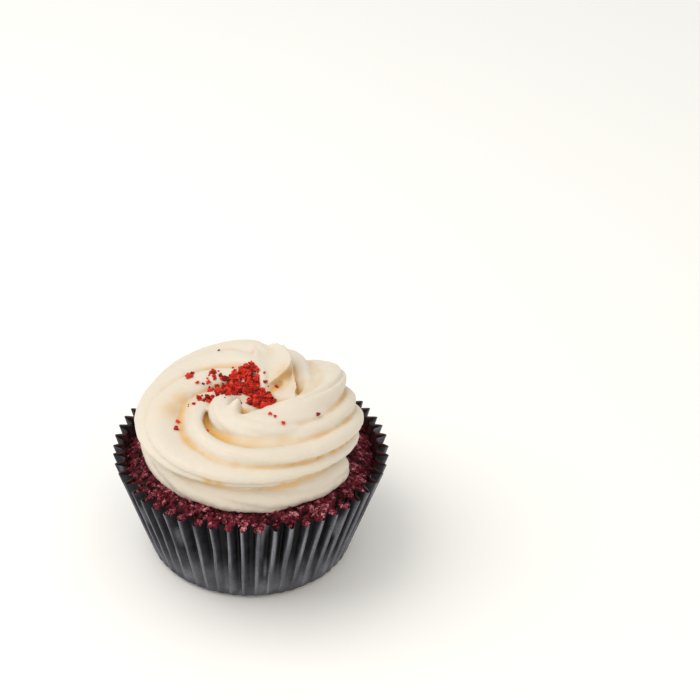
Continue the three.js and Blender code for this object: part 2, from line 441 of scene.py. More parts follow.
class Recipe:
    """A material in the making: a tree of nodes that starts from Object coordinates."""

    def __init__(self, name: str) -> None:
        """Starts a material that has its coordinates as the only node.

        Args:
            name: The material's name.
        """
        self.material = bpy.data.materials.new(name)
        self.material.use_nodes = True
        self.material.node_tree.nodes.clear()
        self.place = self.add_node("TexCoord").outputs["Object"]

    def add_node(
        self, kind: str, settings: dict | None = None, inputs: dict | None = None
    ) -> bpy.types.Node:
        """Adds a node with its settings and links.

        Args:
            kind: The node's type, without the leading ShaderNode.
            settings: Properties of the node by name.
            inputs: Values for its sockets by name or number; an output socket is linked.

        Returns:
            The node.
        """
        tree = self.material.node_tree
        node = tree.nodes.new("ShaderNode" + kind)
        for name, value in (settings or {}).items():
            setattr(node, name, value)
        for name, value in (inputs or {}).items():
            if isinstance(value, Socket):
                tree.links.new(value, node.inputs[name])
            else:
                node.inputs[name].default_value = value
        return node

    def read(self, name: str) -> Socket:
        """Gives the socket of a number that was stored for each point."""
        return self.add_node("Attribute", {"attribute_name": name}).outputs["Fac"]

    def maths(self, operation: Operation, first: Socket, second: Socket) -> Socket:
        """Adds or multiplies two numbers and gives the socket of the result."""
        inputs = {0: first, 1: second}
        return self.add_node("Math", {"operation": operation.value}, inputs).outputs[0]

    def blend(self, share: Socket, first: Socket | str, second: Socket | str) -> Socket:
        """Mixes two colours.

        Args:
            share: How much of the second colour.
            first: A socket, or an sRGB hex value.
            second: The same.

        Returns:
            The socket of the mixed colour.
        """
        inputs = {0: share}
        for number, colour in ((6, first), (7, second)):
            inputs[number] = linear(colour) if isinstance(colour, str) else colour
        return self.add_node("Mix", {"data_type": "RGBA"}, inputs).outputs[2]

    def between(self, value: Socket, span: tuple, ends: tuple = (0.0, 1.0)) -> Socket:
        """Maps a number from one span to another, held at both ends.

        Args:
            value: The number's socket.
            span: What it is mapped from.
            ends: What it is mapped to.

        Returns:
            The socket of the mapped number.
        """
        inputs = {"Value": value, "From Min": span[0], "From Max": span[1]}
        inputs.update({"To Min": ends[0], "To Max": ends[1]})
        return self.add_node("MapRange", {"clamp": True}, inputs).outputs["Result"]

    def uneven(self, value: Socket, around: float, under: float, over: float) -> Socket:
        """Lets a number vary with noise, from a little under its usual value to a little over."""
        return self.between(value, NOISE_SPAN, (around - under, around + over))

    def mottle(self, size_mm: float, detail: float = 2.0) -> Socket:
        """Noise whose blotches are about size_mm across, as a number from 0 to 1."""
        inputs = {"Vector": self.place, "Scale": 1 / (size_mm * MM), "Detail": detail}
        return self.add_node("TexNoise", None, inputs).outputs["Fac"]

    def bump(self, height: Socket, depth_mm: float, under: Socket | None = None) -> Socket:
        """Bumps the surface.

        Args:
            height: Where it is raised, from 0 to 1.
            depth_mm: By how much where height is 1.
            under: Another bump that this one lies over.

        Returns:
            The socket of the bumped normal.
        """
        inputs = {"Height": height, "Distance": depth_mm * MM, "Strength": 1.0}
        if under is not None:
            inputs["Normal"] = under
        return self.add_node("Bump", None, inputs).outputs["Normal"]

    def close(self, colour: Socket | tuple, rough: Socket | float, more: dict) -> Finish:
        """Ends the tree in a Principled shader.

        Args:
            colour: The surface's colour.
            rough: Its roughness.
            more: Other inputs of the shader, by name.

        Returns:
            The finished material.
        """
        inputs = {"Base Color": colour, "Roughness": rough, **more}
        shader = self.add_node("BsdfPrincipled", None, inputs)
        self.add_node("OutputMaterial", None, {"Surface": shader.outputs["BSDF"]})
        return self.material


@dataclass(frozen=True)
class GreaseproofPaper:
    """Greaseproof paper, dyed in the pulp and pressed into pleats under heat.

    Calendering makes it smooth, so the flanks shine softly. Along the folds the colour is lighter,
    partly from wear of the dyed fibres and partly as painted highlight; low on the wall a painted
    reflection lightens it, and between the pleats it goes near black as painted shade.
    """

    name: str = "dyed_greaseproof_paper"
    flank: str = "2f3036"
    wear_and_highlight_colour: str = "a3a4af"
    pressed: str = "1b1c21"
    painted_valley_shade: str = "060607"
    roughness: float = 0.48
    rough_range: tuple = (0.06, 0.08)
    ior: float = 1.5
    sheen: float = 0.1
    fibre_mm: float = 0.5
    fibre_height_mm: float = 0.03
    fibre_span: tuple = (0.3, 0.6)
    fibre_wear_and_highlight: tuple = (0.55, 1.0)
    cockle_mm: float = 3.0
    cockle_height_mm: float = 0.12
    cockle_span: tuple = (0.35, 0.65)

    def build(self) -> Finish:
        """Makes the material.

        Returns:
            The material, reading where the pleats are lighter from wear and painted light, and
            where painted shade darkens them.
        """
        recipe = Recipe(self.name)
        fibres, cockle = recipe.mottle(self.fibre_mm, 3), recipe.mottle(self.cockle_mm)
        flat = recipe.blend(recipe.between(cockle, self.cockle_span), self.pressed, self.flank)
        # painted shade: the valleys of the pleats go near black
        body = recipe.blend(recipe.read("valley"), flat, self.painted_valley_shade)
        patchy = recipe.between(fibres, self.fibre_span, self.fibre_wear_and_highlight)
        # lighter where the crest mark says: wear with painted highlights and a painted reflection,
        # broken up by the fibres
        wear_and_painted_light = recipe.maths(Operation.MULTIPLY, recipe.read("crest"), patchy)
        colour = recipe.blend(wear_and_painted_light, body, self.wear_and_highlight_colour)
        rough = recipe.uneven(fibres, self.roughness, *self.rough_range)
        cockled = recipe.bump(cockle, self.cockle_height_mm)
        relief = recipe.bump(fibres, self.fibre_height_mm, cockled)
        more = {"Normal": relief, "IOR": self.ior, "Specular IOR Level": self.sheen}
        return recipe.close(colour, rough, more)


@dataclass(frozen=True)
class GreasyPaper:
    """The case's inner face, where the same paper has taken up fat and crumb from the cake."""

    name: str = "greasy_greaseproof_paper"
    dry: str = "2a2022"
    soaked: str = "4a2422"
    roughness: float = 0.4
    ior: float = 1.5
    stain_mm: float = 2.5
    stain_height_mm: float = 0.1
    stain_span: tuple = (0.4, 0.62)

    def build(self) -> Finish:
        """Makes the material.

        Returns:
            The material, with two browns in soft stains.
        """
        recipe = Recipe(self.name)
        stains = recipe.mottle(self.stain_mm, 3)
        colour = recipe.blend(recipe.between(stains, self.stain_span), self.dry, self.soaked)
        more = {"Normal": recipe.bump(stains, self.stain_height_mm), "IOR": self.ior}
        return recipe.close(colour, self.roughness, more)


@dataclass(frozen=True)
class RedCakeCrumb:
    """Baked sponge coloured with red food dye and cocoa.

    It is open and moist, a dull wine red on its grains. Its pores are darkened as painted shade,
    and pink spots on the tops of some grains are painted highlights.
    """

    name: str = "red_sponge_cake"
    painted_pore_shade: str = "150305"
    grain: str = "681526"
    painted_glint: str = "dd909a"
    roughness: float = 0.55
    rough_range: tuple = (0.15, 0.2)
    ior: float = 1.45
    sheen: float = 0.15
    patch_mm: float = 4.0
    patch_strength: tuple = (0.6, 1.3)
    lump_mm: float = 2.2
    grain_mm: float = 0.9
    grain_height_mm: float = 0.35
    grain_span: tuple = (0.7, 1.15)
    fine_mm: float = 0.35
    fine_height_mm: float = 0.22
    glint_height_span: tuple = (0.95, 1.35)
    glint_speck_span: tuple = (1.0, 1.2)

    def build(self) -> Finish:
        """Makes the material.

        Returns:
            The material, reading how far each point is raised out of the pores: low points get
            painted shade and some high ones painted highlights.
        """
        recipe = Recipe(self.name)
        clumps, fine = recipe.mottle(self.grain_mm, 3), recipe.mottle(self.fine_mm)
        patch = recipe.between(recipe.mottle(self.patch_mm, 1), NOISE_SPAN, self.patch_strength)
        patchy = recipe.maths(Operation.MULTIPLY, clumps, patch)
        mixed = recipe.maths(Operation.ADD, recipe.read("raised"), patchy)
        # painted shade: the lower a point lies among the grains, the darker it is
        dark = recipe.blend(recipe.between(mixed, self.grain_span), self.painted_pore_shade, self.grain)
        specks = recipe.maths(Operation.ADD, recipe.mottle(self.lump_mm), fine)
        # painted highlight: pink spots on the highest grains
        high = recipe.between(mixed, self.glint_height_span)
        glint = recipe.maths(Operation.MULTIPLY, high, recipe.between(specks, self.glint_speck_span))
        colour = recipe.blend(glint, dark, self.painted_glint)
        rough = recipe.uneven(fine, self.roughness, *self.rough_range)
        lumpy = recipe.bump(clumps, self.grain_height_mm)
        relief = recipe.bump(fine, self.fine_height_mm, lumpy)
        more = {"Normal": relief, "IOR": self.ior, "Specular IOR Level": self.sheen}
        return recipe.close(colour, rough, more)


@dataclass(frozen=True)
class CreamCheeseFrosting:
    """Butter and cream cheese beaten with sugar, piped cold through a star nozzle.

    It is a dense, fatty white that light goes a little way into. Ridges are near white, and the
    grooves carry a warm straw yellow as painted shade. The skin is satin with faint drag marks.
    """

    name: str = "cream_cheese_frosting"
    lit: str = "d7cebf"
    groove: str = "d3a557"
    roughness: float = 0.42
    rough_range: tuple = (0.05, 0.08)
    ior: float = 1.46
    milky: float = 0.2
    milky_depth_mm: float = 1.2
    milky_reach: tuple = (1.0, 0.7, 0.35)
    soft_mm: float = 1.6
    soft_height_mm: float = 0.12
    grain_mm: float = 0.45
    grain_height_mm: float = 0.06

    def build(self) -> Finish:
        """Makes the material.

        Returns:
            The material, reading how deep in a groove each point is, which it paints with
            straw-yellow shade.
        """
        recipe = Recipe(self.name)
        soft, grain = recipe.mottle(self.soft_mm), recipe.mottle(self.grain_mm)
        # painted shade: straw yellow where the crease mark says a point lies deep in a groove
        colour = recipe.blend(recipe.read("crease"), self.lit, self.groove)
        rough = recipe.uneven(soft, self.roughness, *self.rough_range)
        wavy = recipe.bump(soft, self.soft_height_mm)
        more = {
            "Normal": recipe.bump(grain, self.grain_height_mm, wavy),
            "IOR": self.ior,
            "Subsurface Weight": self.milky,
            "Subsurface Radius": self.milky_reach,
            "Subsurface Scale": self.milky_depth_mm * MM,
        }
        return recipe.close(colour, rough, more)


@dataclass(frozen=True)
class DriedRedCrumb:
    """Crumbs of red cake, dried until crisp and rubbed through a sieve.

    Dry sponge scatters light well, so the crumbs are a bright brick red with darker faces.
    """

    name: str = "dried_red_crumb"
    bright: str = "dd3824"
    deep: str = "74100f"
    roughness: float = 0.7
    ior: float = 1.45
    sheen: float = 0.2
    grain_mm: float = 0.35
    grain_height_mm: float = 0.12
    tone_span: tuple = (0.55, 1.3)

    def build(self) -> Finish:
        """Makes the material.

        Returns:
            The material, reading each crumb's own tone.
        """
        recipe = Recipe(self.name)
        grain = recipe.mottle(self.grain_mm)
        mixed = recipe.maths(Operation.ADD, recipe.read("tone"), grain)
        colour = recipe.blend(recipe.between(mixed, self.tone_span), self.deep, self.bright)
        relief = recipe.bump(grain, self.grain_height_mm)
        more = {"Normal": relief, "IOR": self.ior, "Specular IOR Level": self.sheen}
        return recipe.close(colour, self.roughness, more)


@dataclass(frozen=True)
class PaleBoard:
    """A matt, painted board for the cupcake to stand on, a little uneven in its roughness."""

    name: str = "pale_board"
    colour: str = "f8f8f7"
    roughness: float = 0.6
    rough_range: tuple = (0.04, 0.04)
    mottle_mm: float = 40.0

    def build(self) -> Finish:
        """Makes the material.

        Returns:
            The material.
        """
        recipe = Recipe(self.name)
        rough = recipe.uneven(recipe.mottle(self.mottle_mm), self.roughness, *self.rough_range)
        return recipe.close(linear(self.colour), rough, {})


@dataclass(frozen=True)
class Wall:
    """The pleated wall at some places: its outer radius, fold, wear with painted light, and painted
    shade, on one grid.
    """

    radius: Array
    fold: Array
    wear_and_painted_light: Array
    shade: Array


@dataclass
class PaperCase:
    """The pleated paper case: one sheet pressed into a flat base and a fluted, flared wall.

    A pleat's crest is flat, with a steep side and a gentle one. crest_half and the ends of its
    sides are shares of a pitch. The lighter marks (wear with painted highlights and a painted
    reflection) and the painted shade in the valleys are shares of the full effect, and places up
    the wall are shares of its height.
    """

    base_radius: float = 27.0
    rim_radius: float = 36.5
    height: float = 30.0
    base_edge: float = 1.2
    thickness: float = 0.16
    pleats: int = 54
    seed: int = 11
    turn_scatter: float = 0.08
    depth_scatter: float = 0.16
    base_depth: float = 0.7
    rim_depth: float = 2.8
    crest_half: float = 0.13
    rim_crest: float = 0.35
    steep_end: float = 0.31
    gentle_end: float = 0.5
    fold_fade: float = 0.85
    fade_span: tuple = (-0.15, 0.5)
    foot_fold: float = 0.3
    foot_span: tuple = (-0.05, 0.22)
    rim_wave: float = 0.22
    cockle: float = 0.16
    crease: float = 0.13
    noise_radius: float = 30.0
    leaning: tuple = (Layer(0, 0.18, 6.0, 3, 0.25), Layer(0, 0.08, 2.6, 4, 0.15))
    softness: Layer = Layer(0.65, 0.35, 9.0, 5)
    fading: Layer = Layer(0.5, 0.5, 8.0, 6)
    cockling: Layer = Layer(0.5, 0.5, 4.0, 7, 0.4)
    creasing: Layer = Layer(0, 1, 1.3, 8, 0.12)
    waving: Layer = Layer(0.5, 0.5, 4.0, 9)
    wear_and_highlight_patches: Layer = Layer(0.7, 0.5, 3.0, 12, 0.3)
    floor_reflection_patches: Layer = Layer(0.7, 0.6, 3.0, 13, 0.6)
    strip_wear_and_highlight: float = 0.55
    strip_span: tuple = (0.03, 0.13)
    edge_wear_and_highlight: float = 0.95
    edge_width: float = 0.04
    crease_wear: float = 0.45
    crease_span: tuple = (0.35, 0.8)
    painted_floor_reflection: float = 0.38
    floor_reflection_span: tuple = (0.05, 0.6)
    wear_span: tuple = (-0.1, 0.12)
    shade_span: tuple = (0.35, 0.9)
    shade_rise: tuple = (0.1, 0.55)
    gentle_shade: float = 0.5
    columns_per_pleat: int = 16
    wall_rows: int = 44
    row_spread: float = 0.9
    base_shares: tuple = (0.12, 0.4, 0.7, 0.86, 0.895, 0.93, 0.965, 1.0)
    name: str = "case_paper"

    def pleat_values(self) -> tuple[Array, Array]:
        """Gives each pleat's shift, in pitches, and its share of the full depth."""
        drawn = scatter(self.seed, 2 * self.pleats).reshape(self.pleats, 2) - 0.5
        return drawn[:, 0] * self.turn_scatter, 1 + drawn[:, 1] * 2 * self.depth_scatter

    def folded(self, phase: Array, soft: Array, crest: Array) -> Array:
        """How far a pleat is folded in: 0 on its crest, 1 in its valley, with rounded corners.

        Args:
            phase: Place across the pleat, from -0.5 to 0.5 with the crest at 0.
            soft: How round the corners are, from 0 to 1.
            crest: Half width of the crest's flat, in pitches.

        Returns:
            The fold, from 0 to 1.
        """
        end = np.where(phase < 0, self.steep_end, self.gentle_end)
        flank = np.clip((np.abs(phase) - crest) / (end - crest), 0, 1)
        return lerp(flank, smoothstep(flank, 0, 1), soft)

    def azimuth(self, pitch: Array) -> Array:
        """Azimuth of a place counted in pleats, where each pleat is a little out of place."""
        shift, _ = self.pleat_values()
        return (pitch + shift[np.round(pitch).astype(int) % self.pleats]) / self.pleats * TURN

    def wall(self, pitch: Array, height: Array, fill: float = 1.0) -> Wall:
        """Works out the pleated wall.

        Noise that is stretched up the wall leans and softens single folds and fades them
        towards the base. Crests get narrower towards the rim.

        Args:
            pitch: Place round the wall, counted in pleats.
            height: Height on the wall.
            fill: How far out of the folds' valleys to go, where 1 follows the paper itself.

        Returns:
            The wall there.
        """
        up = (height - self.base_edge) / (self.height - self.base_edge)
        place = polar(self.azimuth(pitch), self.noise_radius, height)
        pleat = np.round(pitch)
        across = pitch - pleat
        _, depth = self.pleat_values()
        lean = sum(layer.at(place) for layer in self.leaning)
        leaned = np.clip(across + lean * (1 - 2 * np.abs(across)), -0.5, 0.5)
        crest = self.crest_half * lerp(1, self.rim_crest, np.clip(up, 0, 1) ** 3)
        fold = self.folded(leaned, self.softness.at(place), crest)
        fade = 1 - (1 - smoothstep(up, *self.fade_span)) * self.fading.at(place)
        fold = fold * depth[pleat.astype(int) % self.pleats] * lerp(1, fade, self.fold_fade)
        fold = fold * lerp(self.foot_fold, 1, smoothstep(up, *self.foot_span))

        pleat_depth = lerp(self.base_depth, self.rim_depth, height / self.height)
        radius = lerp(self.base_radius, self.rim_radius, height / self.height)
        radius = radius - pleat_depth * lerp(np.maximum(fold, 1.0), fold, fill)
        radius = radius - self.cockle * self.cockling.at(place) * (1 - up)
        creased = self.creasing.at(place)
        radius = radius - self.crease * (0.5 + 0.5 * creased)

        # The crest strip and the line along its steep edge are lighter: partly wear, partly painted
        # highlight.
        strip = 1 - smoothstep(np.abs(leaned), *self.strip_span)
        edge = np.exp(-(((leaned + crest) / self.edge_width) ** 2))
        wear_and_painted_light = np.maximum(self.strip_wear_and_highlight * strip, self.edge_wear_and_highlight * edge) * self.wear_and_highlight_patches.at(place)
        wear_and_painted_light = np.maximum(wear_and_painted_light, self.crease_wear * smoothstep(creased, *self.crease_span))
        # painted reflection: the wall is lighter low down, in patches, standing in for the pale
        # floor reflected in it
        painted_reflection = self.painted_floor_reflection * (1 - smoothstep(up, *self.floor_reflection_span))
        wear_and_painted_light = np.clip(np.maximum(wear_and_painted_light, painted_reflection * self.floor_reflection_patches.at(place)), 0, 1)
        wear_and_painted_light = wear_and_painted_light * smoothstep(up, *self.wear_span)
        # painted shade: the valleys are darkened, the steep side more than the gentle one, less
        # towards the base
        shade = smoothstep(fold, *self.shade_span) * np.where(leaned < 0, 1, self.gentle_shade)
        return Wall(radius, fold, wear_and_painted_light, shade * smoothstep(up, *self.shade_rise))

    def build(self, outside: Finish, inside: Finish) -> Piece:
        """Makes the case.

        The sheet is a grid of azimuth by distance from the base's middle: out across the base,
        round its edge and up the wall, whose rim rises and falls a little.

        Args:
            outside: Finish of the outer face.
            inside: Finish of the inner face.

        Returns:
            The case.
        """
        columns = self.pleats * self.columns_per_pleat
        pitch = ((np.arange(columns) + 0.5) / self.columns_per_pleat)[None]
        azimuth = self.azimuth(pitch)
        up = (np.linspace(0, 1, self.wall_rows) ** self.row_spread)[:, None]
        wall_z = lerp(self.base_edge, self.height, up)
        wall = self.wall(pitch, wall_z)
        wave = self.waving.at(polar(azimuth, self.noise_radius, 0))
        wall_z = np.broadcast_to(wall_z - self.rim_wave * up**6 * wave, wall.radius.shape)

        share = np.array(self.base_shares)[:, None]
        spread = np.sin(np.linspace(0, 1, len(share)) * math.pi / 2)[:, None]
        base_fold = self.base_depth * (wall.fold[:1] * spread**3)
        base = share * (self.base_radius - self.base_edge - base_fold)
        level = np.zeros_like(base)
        radii, heights = np.concatenate([base, wall.radius]), np.concatenate([level, wall_z])
        points = np.append(polar(azimuth, radii, heights).reshape(-1, 3), [[0, 0, 0]], axis=0)
        middle = fan(np.arange(columns), len(points) - 1, True)
        piece = mesh_piece(self.name, points, ring_quads(len(radii), columns), middle)
        # the crest mark carries wear and painted light; the valley mark carries painted shade
        store(piece, "crest", np.append(np.concatenate([level, wall.wear_and_painted_light]), 0))
        store(piece, "valley", np.append(np.concatenate([level, wall.shade]), 0))
        piece.data.materials.append(outside)
        piece.data.materials.append(inside)
        sheet = piece.modifiers.new("paper_thickness", "SOLIDIFY")
        sheet.thickness = self.thickness * MM
        sheet.offset = -1
        sheet.material_offset = 1
        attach(piece, BODY)
        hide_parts("paper_case")
        return piece


@dataclass
class Cake:
    """The cake in the case: a fluted plug with an open, crumbly top, level at the front.

    Each pair in grain_sizes is the size of a layer of grains, as a share of grain_mm, and how
    much it counts. loose grains lie on the top, and spilt ones over the rim at the front.
    """

    case: PaperCase
    clearance: float = 0.3
    flute_fill: float = 0.85
    floor: float = 0.8
    bottom_inset: float = 0.9
    edge_drop: float = 0.3
    dome: float = 31.6
    dome_power: float = 5.0
    edge_low: float = 25.2
    edge_high: float = 29.6
    front: float = math.radians(270)
    level_span: tuple = (math.radians(52), math.radians(92))
    columns_per_flute: int = 12
    side_rows: int = 7
    top_rows: int = 60
    top_span: tuple = (0.993, 0.55)
    middle_shares: tuple = (0.4, 0.25, 0.1)
    shown_span: tuple = (10, 15)
    grain_mm: float = 1.25
    grain_sizes: tuple = ((2.2, 0.35), (1.0, 0.45), (0.45, 0.2))
    grain_seed: int = 20
    grain_height: float = 2.0
    pore_level: float = 0.35
    astray: tuple = (Layer(0, 0.5, 1.7, 25), Layer(0, 0.5, 1.7, 26), Layer(0, 0.5, 1.7, 27))
    seed: int = 31
    shape: GrainShape = GrainShape(flatness=0.1, lumpiness=0.6, seed=33)
    loose: int = 900
    loose_band: tuple = (0.70, 0.95)
    loose_size: tuple = (0.2, 0.8)
    loose_power: float = 1.3
    loose_lift: float = 0.25
    side_size: float = 0.6
    side_span: tuple = (0.8, 1.3)
    spilt: int = 76
    spilt_reach: float = math.radians(46)
    spilt_spread: float = 0.17
    spilt_size: tuple = (0.45, 0.85)
    spilt_in: float = 0.5
    spilt_lift: float = 0.45
    tones: tuple = (0.35, 1.0)
    name: str = "cake_sponge"

    def top(self, azimuth: Array, radius: Array) -> Array:
        """Works out the cake's top: a low dome that meets the wall at an uneven level.

        Args:
            azimuth: Where round the cake.
            radius: How far from its middle.

        Returns:
            The top's height there.
        """
        away = np.mod(azimuth - self.front, TURN)
        away = np.minimum(away, TURN - away)
        edge = lerp(self.edge_low, self.edge_high, 1 - smoothstep(away, *self.level_span))
        out = np.minimum(1, radius / (self.case.rim_radius - self.case.rim_depth))
        return self.dome - (self.dome - edge) * out**self.dome_power

    def wall(self, pitch: Array, height: Array) -> Array:
        """Radius of the cake's side: it follows the paper's folds and stays clear of them."""
        paper = self.case.wall(pitch, height, self.flute_fill).radius
        return paper - self.case.thickness - self.clearance

    def plug(self) -> tuple[Array, Array]:
        """Works out the body of the cake.

        It is a grid of azimuth by row: up the side, over the edge and in to the middle of the
        top. Grains of three sizes push it up and leave pores between them.

        Returns:
            Its rings of points, and how far each point is raised out of the pores.
        """
        columns = self.case.pleats * self.columns_per_flute
        pitch = (np.arange(columns) / self.columns_per_flute)[None]
        azimuth = self.case.azimuth(pitch)
        edge = self.top(azimuth, self.case.rim_radius) - self.edge_drop
        side_z = lerp(self.floor, edge, np.linspace(0, 1, self.side_rows)[:, None])
        side = self.wall(pitch, side_z)
        side[0] -= self.bottom_inset
        across = np.append(np.linspace(*self.top_span, self.top_rows), self.middle_shares)
        top = across[:, None] * self.wall(pitch, edge)
        radii = np.concatenate([side, top])
        rings = polar(azimuth, radii, np.concatenate([side_z, self.top(azimuth, top)]))
        shows = np.repeat([0.0, 1.0], [len(side), len(top)])[:, None]
        shows = shows * smoothstep(radii, *self.shown_span)
        place = rings + np.stack([layer.at(rings) for layer in self.astray], axis=-1)
        raised = sum(
            share * grains(place, self.grain_mm * size, self.grain_seed + number)
            for number, (size, share) in enumerate(self.grain_sizes)
        )
        rings[..., 2] += shows * (self.grain_height * (raised - self.pore_level))
        return rings, raised

    def loose_grains(self, random: Random) -> tuple[Array, Array]:
        """Scatters grains on the part of the top that shows.

        Args:
            random: Where the numbers come from.

        Returns:
            The grains' middles and radii.
        """
        turns = random.uniform(0, self.case.pleats, self.loose)
        angle = self.case.azimuth(turns)
        out = np.sqrt(random.uniform(*self.loose_band, self.loose))
        aside = np.abs(np.mod(angle - self.front + math.pi, TURN) - math.pi)
        size = random.uniform(*self.loose_size, self.loose) ** self.loose_power
        size = size * lerp(1, self.side_size, smoothstep(aside, *self.side_span))
        radius = out * self.wall(turns, self.top(angle, self.case.rim_radius))
        return polar(angle, radius, self.top(angle, radius) + self.loose_lift * size), size

    def spilt_grains(self, random: Random) -> tuple[Array, Array]:
        """Heaps grains on the front rim, behind the crests of the pleats.

        Args:
            random: Where the numbers come from.

        Returns:
            The grains' middles and radii.
        """
        spread = random.uniform(-1, 1, self.spilt) * self.spilt_reach
        turns = np.round((self.front + spread) / TURN * self.case.pleats)
        turns += random.normal(0, self.spilt_spread, self.spilt)
        angle = self.case.azimuth(turns)
        size = random.uniform(*self.spilt_size, self.spilt)
        radius = self.wall(turns, np.full(self.spilt, self.case.height)) - self.spilt_in * size
        return polar(angle, radius, self.top(angle, radius) + self.spilt_lift * size), size

    def build(self, finish: Finish) -> Piece:
        """Makes the cake: its body with the loose and the spilt grains in one piece.

        Args:
            finish: The cake's material.

        Returns:
            The cake.
        """
        rings, raised = self.plug()
        ends = np.array([[0, 0, self.floor], [0, 0, self.dome]])
        points, quads, triangles = closed_tube(rings, ends)
        random = np.random.default_rng(self.seed)
        scattered = zip(self.loose_grains(random), self.spilt_grains(random))
        middles, sizes = (np.concatenate(both) for both in scattered)
        grain_points, grain_faces = self.shape.cloud(middles, sizes)
        everything = np.concatenate([points, grain_points])
        piece = mesh_piece(self.name, everything, quads, triangles, grain_faces + len(points))
        tones = random.uniform(*self.tones, len(sizes))
        tones = np.repeat(tones, len(grain_points) // len(sizes))
        # raised is the height among the grains, which the cake's material turns into painted shade
        # and painted highlights; the loose and spilt grains hold random tones in it
        store(piece, "raised", np.concatenate([raised.ravel(), [0.5, 0.5], tones]))
        piece.data.materials.append(finish)
        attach(piece, BODY)
        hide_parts("cake")
        return piece


@dataclass(frozen=True)
class Petal:
    """A stretch of one lobe, in quarter turns, that stands proud or leans over its neighbour.

    raised is a share of the rope's half size; lean moves the ridge inward, or outward below 0.
    """

    lobe: int
    first: float
    last: float
    raised: float
    lean: float


@dataclass(frozen=True)
class Hollow:
    """A stretch of one groove, in quarter turns, that is deeper by a share of its depth."""

    groove: int
    first: float
    last: float
    deeper: float


@dataclass(frozen=True)
class Fold:
    """A sheet of frosting that rises from its foot to a sharp lip over the hollow beyond it.

    lip and foot are matching rows of points in millimetres. spoon is how far the sheet sags
    between them, and drop is how far the lip's steep outer side reaches down.
    """

    lip: tuple
    foot: tuple
    spoon: float
    drop: float
    thickness: float = 0.35


